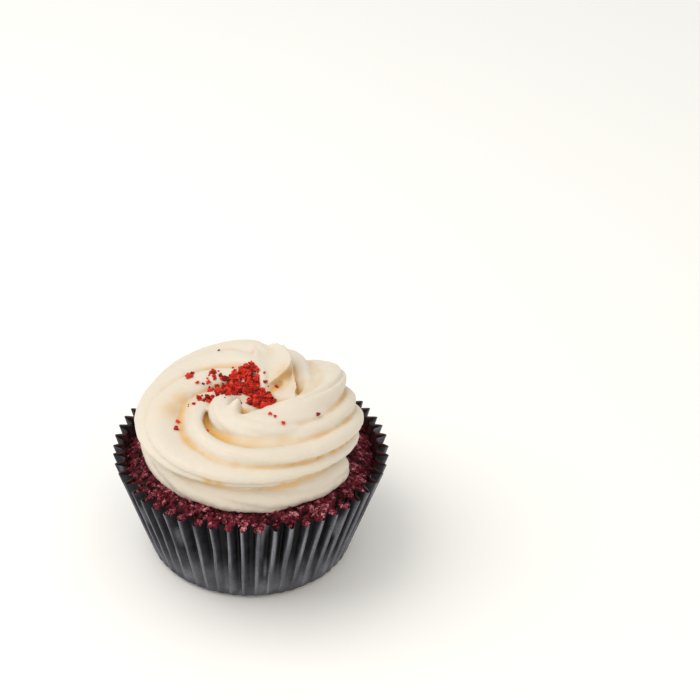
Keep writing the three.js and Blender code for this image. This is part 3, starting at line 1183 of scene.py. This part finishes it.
@dataclass
class Frosting:
    """One rope piped through a star nozzle, laid round the cake and up onto itself.

    The rope's path and section are given at every quarter turn, clockwise from above: radius,
    height, half_width, half_height and twist of the rope, and how far the axis that it winds
    round has wandered. A dent is its x, y, half width and depth. A painted shade patch is its
    x, y, z, half width and strength; below 0 it takes painted shade away, and later patches win.
    """

    cake: Cake
    start: float = math.radians(-20)
    radius: tuple = (20, 19, 18.5, 18, 20.5, 18.5, 16.5, 16, 14.5, 9.5, 4)
    height: tuple = (33, 33, 35, 37, 41, 41, 40, 43.5, 45, 45, 45)
    half_width: tuple = (9.5, 10.5, 9.5, 8.5, 10, 12, 15, 12.5, 8.5, 5, 3.5)
    half_height: tuple = (6, 6.5, 7.5, 7.5, 6.5, 5.5, 6, 6.5, 5, 3.5, 3)
    twist: tuple = (20, 85, 165, 260, 380, 420, 485, 575, 710, 800, 860)
    axis_x: tuple = (0, 0, -1, -1, -0.5, -0.5, 1, -1, -1, -1.5, -2)
    axis_y: tuple = (-0.5, -0.5, 0, 0, 0.5, 0, -1, -1, -1.5, -2, -2)
    lobes: int = 8
    groove_depth: float = 0.24
    groove_power: float = 1.3
    begun_depth: float = 0.2
    begun_span: tuple = (2.2, 4)
    ended_depth: float = 0.22
    ended_span: tuple = (7.9, 8.7)
    lost_groove: int = 1
    lost_span: tuple = (6.6, 7.2)
    petals: tuple = (
        Petal(4, 6.8, 8.0, -0.4, -0.3),
        Petal(5, 6.6, 7.6, -0.05, 0.0),
        Petal(3, 6.6, 8.1, -0.7, 0.0),
        Petal(2, 7.0, 8.3, -0.5, 0.0),
        Petal(1, 6.8, 8.4, 0.17, 1.0),
        Petal(1, 6.4, 7.75, 0.16, 0.0),
        Petal(1, 2.7, 3.95, -0.15, 0.0),
        Petal(7, 4.4, 5.9, 0.05, 0.6),
        Petal(0, 4.1, 6.1, 0.03, 0.8),
        Petal(6, 4.6, 5.8, 0.0, -0.35),
    )
    petal_ease: float = 0.45
    petal_span: tuple = (0.1, 0.9)
    hollows: tuple = (
        Hollow(0, 4.7, 5.75, 0.9),
        Hollow(7, 4.9, 5.9, 0.8),
        Hollow(6, 4.3, 6.4, -0.62),
        Hollow(4, 6.8, 7.8, 0.3),
        Hollow(3, 6.6, 8.2, -1.0),
        Hollow(2, 6.8, 8.3, -0.3),
    )
    folds: tuple = (
        Fold(
            lip=(
                (4.3, 19.3, 50.2), (7.0, 18.6, 50.4), (9.1, 16.5, 50.6), (10.4, 13.7, 50.6),
                (10.7, 10.7, 50.4), (10.0, 8.1, 50.1), (8.6, 6.1, 49.6), (6.9, 4.8, 48.9),
                (5.0, 3.8, 48.0), (3.2, 2.9, 47.0),
            ),
            foot=(
                (-0.2, 21.6, 48.6), (0.1, 19.0, 49.0), (0.6, 16.9, 49.2), (1.0, 14.3, 49.3),
                (1.3, 11.7, 49.2), (1.5, 9.3, 48.9), (1.8, 7.3, 48.4), (2.0, 5.9, 47.8),
                (2.3, 4.6, 47.1), (2.6, 3.3, 46.4),
            ),
            spoon=1.0,
            drop=4.0,
        ),
        Fold(
            lip=(
                (10.4, 14.9, 48.0), (10.9, 10.9, 48.2), (11.4, 6.4, 48.4), (11.7, 2.2, 48.5),
                (11.6, -0.8, 48.2), (11.0, -3.0, 47.2), (10.2, -4.4, 46.0),
            ),
            foot=(
                (9.7, 15.2, 46.8), (9.1, 12.1, 46.4), (7.7, 8.5, 46.0), (6.4, 4.6, 45.8),
                (5.8, 0.9, 45.8), (6.3, -1.6, 45.4), (8.0, -3.6, 45.0),
            ),
            spoon=0.4,
            drop=3.0,
        ),
    )
    fold_grid: tuple = (60, 14)
    painted_shade_patches: tuple = (
        (7.9, 8.4, 46.8, 2.4, 0.95),
        (6.9, 4.6, 46.2, 2.6, 0.8),
        (12.5, 0.6, 47.0, 2.0, 0.6),
        (12.7, 4.8, 47.0, 2.2, 0.4),
        (-2.2, -9.2, 47.0, 1.6, 1.0),
        (6.0, 12.0, 49.5, 5.0, -1.0),
        (-1.5, -27.4, 37.3, 6.0, -0.6),
        (-1.6, 18.2, 47.5, 3.2, -1.0),
        (8.5, 6.4, 47.6, 2.2, 0.9),
        (9.3, 8.3, 47.8, 1.8, 0.85),
        (-20.0, -4.4, 44.6, 3.4, 0.5),
        (-17.8, -0.8, 44.8, 2.8, 0.6),
        (-10.5, -27.3, 39.6, 1.4, 1.0),
        (-8.0, -28.1, 39.3, 1.4, 0.9),
        (7.6, -26.8, 38.0, 1.1, 0.8),
    )
    dents: tuple = ((-2.1, -9.3, 1.3, 1.9),)
    dent_facing: tuple = (0, 0.3)
    around: int = 160
    steps: int = 900
    blunt_length: float = 0.16
    blunt_size: float = 0.25
    least_radius: float = 0.2
    core_radii: tuple = (13, 13, 9.1, 4.55, 0.8)
    core_heights: tuple = (27, 42, 44.8, 45.8, 46.0)
    peak_foot: tuple = (-4.5, -9.2, 45.3)
    peak_lean: tuple = (1.3, 0.8)
    peak_height: float = 6.2
    peak_radius: float = 3.6
    peak_taper: float = 0.85
    peak_tip: float = 0.2
    peak_rings: int = 14
    solid_sides: int = 48
    voxel: float = 0.36
    relax_rounds: int = 2
    relax_shares: tuple = (0.55, -0.42)
    drags: tuple = (Layer(0, 0.13, 4.5, 61), Layer(0, 0.07, 1.9, 62), Layer(0, 0.03, 0.9, 63))
    low_drag: float = 2.4
    low_span: tuple = (31, 36)
    above_cake: float = 0.12
    broad_rounds: int = 60
    even_rounds: int = 4
    groove_full: float = 0.6
    crease_span: tuple = (-0.05, 1.05)
    name: str = "frosting_swirl"

    def stretch(self, quarters: Array, first: float, last: float) -> Array:
        """Eases from 0 to 1 at first and back to 0 at last."""
        begun = smoothstep(quarters, first, first + self.petal_ease)
        return begun * (1 - smoothstep(quarters, last - self.petal_ease, last))

    def groove_share(self, groove: Array, quarters: Array) -> Array:
        """Works out how deep each groove is along the rope.

        Args:
            groove: The groove's number.
            quarters: Place along the rope.

        Returns:
            Its depth there, as a share of the full depth.
        """
        begun = lerp(self.begun_depth, 1, smoothstep(quarters, *self.begun_span))
        share = begun * lerp(1, self.ended_depth, smoothstep(quarters, *self.ended_span))
        lost = share * (1 - smoothstep(quarters, *self.lost_span))
        share = np.where(groove == self.lost_groove, lost, share)
        for hollow in self.hollows:
            deeper = hollow.deeper * self.stretch(quarters, hollow.first, hollow.last)
            share = np.where(groove == hollow.groove, share * (1 + deeper), share)
        return share

    def reach(self, star: Array, quarters: Array) -> Array:
        """How far the section reaches out at each angle, as a share of its half size.

        Grooves lie between the lobes. Across a lobe the surface is a half wave, whose top is
        moved by the lobe's lean; each groove is as deep as its own share says.

        Args:
            star: Angle in the nozzle's star, from 0 to a full turn.
            quarters: Place along the rope.

        Returns:
            The reach, with the shape of star and quarters together.
        """
        across = star / TURN * self.lobes - 0.5 + 1e-9
        lobe = np.mod(np.floor(across), self.lobes).astype(int)
        part = np.mod(across, 1)
        raised, lean = np.zeros((2, len(quarters), self.lobes))
        for petal in self.petals:
            share = self.stretch(quarters[:, 0], petal.first, petal.last)
            raised[:, petal.lobe] += petal.raised * share
            lean[:, petal.lobe] += petal.lean * share
        row = np.arange(len(quarters))[:, None]
        leaned = part ** (2 ** (2 * lean[row, lobe]))
        valley = (1 - np.sin(math.pi * leaned)) ** self.groove_power
        beside = np.where(part < 0.5, (lobe - 1) % self.lobes, (lobe + 1) % self.lobes)
        sideways = smoothstep(np.abs(part - 0.5), *self.petal_span)
        lift = lerp(raised[row, lobe], raised[row, beside], sideways)
        after = self.groove_share((lobe + 1) % self.lobes, quarters)
        before = self.groove_share(lobe, quarters)
        return 1 + lift - self.groove_depth * np.where(part > 0.5, after, before) * valley

    def rope(self) -> Solid:
        """Works out the rope.

        It is a grid of place along the rope by angle round its section: the section is an oval
        whose radius dips between the lobes of the star, and it turns with the twist.

        Returns:
            Its points, quads and end triangles.
        """
        last = len(self.radius) - 1
        quarters = np.linspace(0, last, self.steps)
        radius, height, wide, high, twist, axis_x, axis_y = (
            catmull_rom(np.array(values, float)[:, None], quarters)
            for values in (self.radius, self.height, self.half_width, self.half_height,
                           self.twist, self.axis_x, self.axis_y)
        )
        inside = np.minimum(1, np.minimum(quarters, last - quarters) / self.blunt_length)
        size = lerp(self.blunt_size, 1, np.sqrt(1 - (1 - inside) ** 2))[:, None]
        star = (np.arange(self.around) / self.around * TURN)[None]
        reach = self.reach(star, quarters[:, None])
        turned = star + np.radians(twist)
        out = np.maximum(self.least_radius, radius + wide * size * reach * np.cos(turned))
        up = height + high * size * reach * np.sin(turned)
        rings = polar((self.start - quarters / 4 * TURN)[:, None], out, up)
        rings[..., 0] += axis_x
        rings[..., 1] += axis_y
        return closed_tube(rings)

    def turned_solid(self, radii: Array, heights: Array, centres: Array) -> Solid:
        """A round solid of stacked rings, closed to a point at each end.

        Args:
            radii: Radius of each ring, from the bottom up.
            heights: Height of each ring.
            centres: x and y of each ring's centre.

        Returns:
            Its points, quads and end triangles.
        """
        azimuth = np.arange(self.solid_sides) / self.solid_sides * TURN
        rings = polar(azimuth, radii[:, None], heights[:, None])
        rings[..., :2] += centres[:, None]
        return closed_tube(rings, np.append(centres, heights[:, None], axis=1)[[0, -1]])

    def core(self) -> Solid:
        """The frosting inside the rope: a low round mound up to the middle of the swirl."""
        radii, heights = np.array(self.core_radii), np.array(self.core_heights)
        return self.turned_solid(radii, heights, np.zeros((len(radii), 2)))

    def peak(self) -> Solid:
        """The little tip where the nozzle was pulled away: it narrows and leans as it rises.

        Returns:
            Its points, quads and end triangles.
        """
        rise = np.linspace(0, 1, self.peak_rings)
        radii = self.peak_radius * (1 - rise) ** self.peak_taper + self.peak_tip
        (x, y, z), (lean_x, lean_y) = self.peak_foot, self.peak_lean
        centres = np.stack([x + lean_x * rise**2, y + lean_y * rise], axis=-1)
        return self.turned_solid(radii, z + self.peak_height * rise, centres)

    def sheet(self, fold: Fold) -> Solid:
        """Makes the solid of one fold.

        It is a grid of place along the lip by place round a wedge: up the sagging top from foot
        to lip, and back to the foot underneath.

        Args:
            fold: The fold.

        Returns:
            Its points, quads and end triangles.
        """
        stations, rungs = self.fold_grid
        along = np.linspace(0, len(fold.lip) - 1, stations)
        lip, foot = (catmull_rom(np.array(points), along) for points in (fold.lip, fold.foot))
        across = np.linspace(0, 1, rungs)[None, :, None]
        top = lerp(foot[:, None], lip[:, None], across)
        top[..., 2] -= fold.spoon * np.sin(math.pi * across[..., 0])
        inward = (foot - lip) / np.linalg.norm(foot - lip, axis=1, keepdims=True)
        upward = np.array([0, 0, 1.0])
        edge = lip + inward * fold.thickness - upward * fold.thickness
        heel = lip + inward * 2 * fold.thickness - upward * fold.drop
        under = np.stack([edge, heel, foot - upward * fold.drop], axis=1)
        return closed_tube(np.concatenate([top, under], axis=1)[:, ::-1])

    def depth(self, points: Array, edges: Array, normals: Array) -> Array:
        """How deep each point lies in a groove.

        The skin is smoothed until only its broad form is left; a point's depth is how far it is
        under that form along its own normal.

        Args:
            points: The skin's points.
            edges: Its edges as pairs of point numbers.
            normals: Which way each point faces.

        Returns:
            The depth as a share of groove_full, negative on ridges.
        """
        broad = points
        for _ in range(self.broad_rounds):
            broad = neighbour_mean(edges, broad)
        under = np.sum((broad - points) * normals, axis=1)[:, None]
        for _ in range(self.even_rounds):
            under = neighbour_mean(edges, under)
        return under[:, 0] / self.groove_full

    def settle(self, points: Array, edges: Array, normals: Array) -> Array:
        """Relaxes the skin, marks it with drag, dents it and lays it on the cake's top.

        Args:
            points: The skin's points.
            edges: Its edges as pairs of point numbers.
            normals: Which way each point faces.

        Returns:
            The points' new places.
        """
        for _ in range(self.relax_rounds):
            for share in self.relax_shares:
                points = lerp(points, neighbour_mean(edges, points), share)
        drag = sum(layer.at(points) for layer in self.drags)
        drag = drag * lerp(self.low_drag, 1, smoothstep(points[:, 2], *self.low_span))
        points = points + drag[:, None] * normals
        facing_up = smoothstep(normals[:, 2], *self.dent_facing)
        for x, y, wide, deep in self.dents:
            away = np.hypot(points[:, 0] - x, points[:, 1] - y)
            points[:, 2] -= deep * facing_up * np.exp(-((away / wide) ** 2))
        azimuth = np.arctan2(points[:, 1], points[:, 0])
        ground = self.cake.top(azimuth, np.hypot(points[:, 0], points[:, 1])) + self.above_cake
        points[:, 2] = np.maximum(points[:, 2], ground)
        return points

    def build(self, finish: Finish) -> Piece:
        """Makes the frosting.

        The rope, the core, the peak and the folds are made one skin on a fine lattice, which is
        then relaxed and laid on the cake's top; where it is creased, and in the listed patches, it
        is marked for painted shade.

        Args:
            finish: The frosting's material.

        Returns:
            The frosting.
        """
        solids = [self.rope(), self.core(), self.peak(), *map(self.sheet, self.folds)]
        starts = np.cumsum([0] + [len(solid[0]) for solid in solids[:-1]])
        points = np.concatenate([solid[0] for solid in solids])
        quads, ends = (
            np.concatenate([solid[part] + start for solid, start in zip(solids, starts)])
            for part in (1, 2)
        )
        piece = mesh_piece(self.name, points, quads, ends)
        one_skin(piece, self.voxel)
        edges = fetch(piece.data.edges, "vertices", 2, np.int32)
        points = fetch(piece.data.vertices, "co", 3, np.float32).astype(float) / MM
        points = self.settle(points, edges, normals_of(piece))
        piece.data.vertices.foreach_set("co", (points * MM).astype(np.float32).ravel())
        piece.data.update()
        # painted shade: the deeper a point lies in a groove, the more straw yellow it is painted
        crease = smoothstep(self.depth(points, edges, normals_of(piece)), *self.crease_span)
        # the patches add straw-yellow painted shade, or take it away where their strength is below
        # 0
        for x, y, z, wide, strength in self.painted_shade_patches:
            away = np.linalg.norm(points - (x, y, z), axis=1)
            near = np.exp(-((away / wide) ** 2))
            crease = np.maximum(crease * (1 + min(strength, 0) * near), strength * near)
        store(piece, "crease", crease)
        piece.data.materials.append(finish)
        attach(piece, BODY)
        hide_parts("frosting")
        return piece


@dataclass
class Crumbs:
    """Dried red crumbs: loose heaps in the middle of the swirl, and a few that fell aside.

    A heap is its x and y, the half sizes of its oval, and how many crumbs it has. As shares of
    their radii, sunk is how high a crumb's middle rests above the frosting, touching is how near
    two middles come before one crumb lies on the other, and stacked is how steeply it does.
    """

    smallest: float = 0.2
    largest: float = 0.74
    size_power: float = 1.9
    alone_sizes: tuple = (0.38, 0.6)
    seed: int = 43
    shape: GrainShape = GrainShape(flatness=0.15, lumpiness=0.8, seed=43)
    drop_height: float = 100.0
    sunk: float = 0.35
    touching: float = 0.52
    stacked: float = 0.5
    heaps: tuple = (
        (-1.8, 5.9, 3.7, 5.2, 240),
        (2.5, -2.0, 3.4, 3.6, 165),
        (0.4, 1.2, 2.6, 1.6, 60),
        (-8.6, 6.6, 3.2, 4.4, 42),
        (-9.2, -1.0, 4.6, 1.6, 46),
        (-5.8, 2.2, 2.6, 2.4, 30),
        (-16.2, 9.6, 1.2, 1.3, 7),
        (-15.3, -2.8, 1.2, 1.2, 6),
        (-4.5, 4.0, 10.0, 9.5, 36),
    )
    alone: tuple = (
        (-8.8, 18.6), (-18.8, -8.2), (-19.2, -11.6), (-11.2, -14.4), (4.7, -12.6),
        (5.9, -13.6), (8.0, -15.4), (16.9, -11.2), (6.6, 4.0),
    )
    name: str = "crumbs_red"

    def places(self, random: Random) -> Array:
        """Places every crumb: those alone, then an even scatter in each heap's oval.

        Args:
            random: Where the numbers come from.

        Returns:
            x and y of each crumb.
        """
        rows = [np.array(self.alone)]
        for x, y, half_x, half_y, count in self.heaps:
            angle = random.uniform(0, TURN, count)
            out = np.sqrt(random.uniform(0, 1, count))
            oval = [x + half_x * out * np.cos(angle), y + half_y * out * np.sin(angle)]
            rows.append(np.stack(oval, axis=-1))
        return np.concatenate(rows)

    def settle(self, frosting: Piece, places: Array, radii: Array) -> Array:
        """Drops each crumb from above onto the frosting or the crumbs that lie there already.

        Args:
            frosting: The frosting under them.
            places: x and y of each crumb.
            radii: Their radii.

        Returns:
            x, y and z of each crumb's middle.
        """
        tree = BVHTree.FromObject(frosting, bpy.context.evaluated_depsgraph_get())
        laid = np.zeros((len(places), 3))
        for number, ((x, y), radius) in enumerate(zip(places, radii)):
            above = Vector((x * MM, y * MM, self.drop_height * MM))
            z = tree.ray_cast(above, Vector((0, 0, -1)))[0].z / MM + self.sunk * radius
            under = laid[:number]
            apart = np.hypot(under[:, 0] - x, under[:, 1] - y)
            reach = self.touching * (radii[:number] + radius)
            over = apart < reach
            lifts = under[over, 2] + np.sqrt(reach[over] ** 2 - apart[over] ** 2) * self.stacked
            laid[number] = x, y, max([z, *lifts])
        return laid

    def build(self, frosting: Piece, finish: Finish) -> Piece:
        """Makes the crumbs.

        Args:
            frosting: The frosting under them.
            finish: The crumbs' material.

        Returns:
            All the crumbs as one piece.
        """
        random = np.random.default_rng(self.seed)
        places = self.places(random)
        count = len(places)
        sizes = random.uniform(0, 1, count) ** self.size_power
        radii = self.smallest + (self.largest - self.smallest) * sizes
        radii[: len(self.alone)] = random.uniform(*self.alone_sizes, len(self.alone))
        points, faces = self.shape.cloud(self.settle(frosting, places, radii), radii)
        piece = mesh_piece(self.name, points, faces)
        piece.data.shade_flat()
        store(piece, "tone", np.repeat(random.uniform(0, 1, count), len(points) // count))
        piece.data.materials.append(finish)
        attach(piece, BODY)
        return piece


@dataclass(frozen=True)
class Lamp:
    """A square soft lamp: its name, place and side in millimetres, power and sRGB colour."""

    name: str
    place: tuple
    side: float
    watts: float
    colour: str


@dataclass
class Studio:
    """The camera at the photograph's angle, a pale floor and soft lamps."""

    distance: float = 500.0
    elevation: float = math.radians(38.5)
    focal_px: float = 1850.0
    image_px: float = 700.0
    sensor_mm: float = 36.0
    clip: tuple = (10.0, 10000.0)
    target: tuple = (0.0, 0.0, 15.0)
    target_px: tuple = (251.5, 489.3)
    floor_half: float = 900.0
    lamps: tuple = (
        Lamp("key", (-320, 20, 480), 520, 1.7, "fffcf8"),
        Lamp("fill", (120, -480, 280), 400, 0.5, "fff2e0"),
    )
    lit_height: float = 30.0
    surroundings: str = "fbf9f4"
    surroundings_strength: float = 0.85

    def aim(self) -> None:
        """Makes the camera.

        It stands in front and above, and is turned off the target until the target falls on its
        place in the picture.
        """
        low, high = math.cos(self.elevation), math.sin(self.elevation)
        ahead = np.array([0, low, -high])
        right = np.array([1.0, 0, 0])
        above = np.cross(right, ahead)
        place = np.array(self.target) - self.distance * ahead
        yaw, tilt = (math.atan((at - self.image_px / 2) / self.focal_px) for at in self.target_px)
        level = ahead * math.cos(yaw) - right * math.sin(yaw)
        side = right * math.cos(yaw) + ahead * math.sin(yaw)
        look = level * math.cos(tilt) + above * math.sin(tilt)
        top = above * math.cos(tilt) - level * math.sin(tilt)
        data = bpy.data.cameras.new("camera")
        data.sensor_width = self.sensor_mm
        data.lens = data.sensor_width * self.focal_px / self.image_px
        data.clip_start, data.clip_end = (distance * MM for distance in self.clip)
        camera = bpy.data.objects.new("camera", data)
        bpy.context.scene.collection.objects.link(camera)
        turn = Matrix([side.tolist(), top.tolist(), (-look).tolist()]).transposed().to_4x4()
        camera.matrix_world = Matrix.Translation(Vector((place * MM).tolist())) @ turn
        bpy.context.scene.camera = camera

    def hang(self, lamp: Lamp) -> None:
        """Adds a lamp that faces the cupcake.

        Args:
            lamp: The lamp.
        """
        data = bpy.data.lights.new(lamp.name, "AREA")
        data.shape = "SQUARE"
        data.size = lamp.side * MM
        data.energy = lamp.watts
        data.color = linear(lamp.colour)[:3]
        light = bpy.data.objects.new(lamp.name, data)
        bpy.context.scene.collection.objects.link(light)
        light.location = Vector(lamp.place) * MM
        towards = Vector((0, 0, self.lit_height * MM)) - light.location
        light.rotation_euler = towards.to_track_quat("-Z", "Y").to_euler()

    def build(self) -> None:
        """Makes the floor, the lamps and the pale surroundings."""
        bpy.context.scene.view_settings.view_transform = "Standard"
        world = bpy.data.worlds.new("studio")
        bpy.context.scene.world = world
        world.use_nodes = True
        background = world.node_tree.nodes["Background"]
        background.inputs["Color"].default_value = linear(self.surroundings)
        background.inputs["Strength"].default_value = self.surroundings_strength
        for lamp in self.lamps:
            self.hang(lamp)
        half = self.floor_half
        corners = np.array([[-half, -half, 0], [half, -half, 0], [half, half, 0], [-half, half, 0]])
        floor = mesh_piece("floor", corners, np.array([[0, 1, 2, 3]]))
        floor.data.materials.append(PaleBoard().build())


def main() -> None:
    """Builds the cupcake and its studio in order."""
    logging.basicConfig(level=logging.INFO, format="%(name)s: %(message)s")
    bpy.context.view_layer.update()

    studio = Studio()
    studio.aim()
    studio.build()
    log.info("studio built")

    case = PaperCase()
    paper = case.build(GreaseproofPaper().build(), GreasyPaper().build())
    log.info("paper case: %d points", len(paper.data.vertices))

    cake = Cake(case)
    sponge = cake.build(RedCakeCrumb().build())
    log.info("cake: %d points", len(sponge.data.vertices))

    swirl = Frosting(cake).build(CreamCheeseFrosting().build())
    log.info("frosting: %d points", len(swirl.data.vertices))

    crumbs = Crumbs().build(swirl, DriedRedCrumb().build())
    log.info("crumbs: %d points", len(crumbs.data.vertices))


if __name__ == "__main__":
    main()
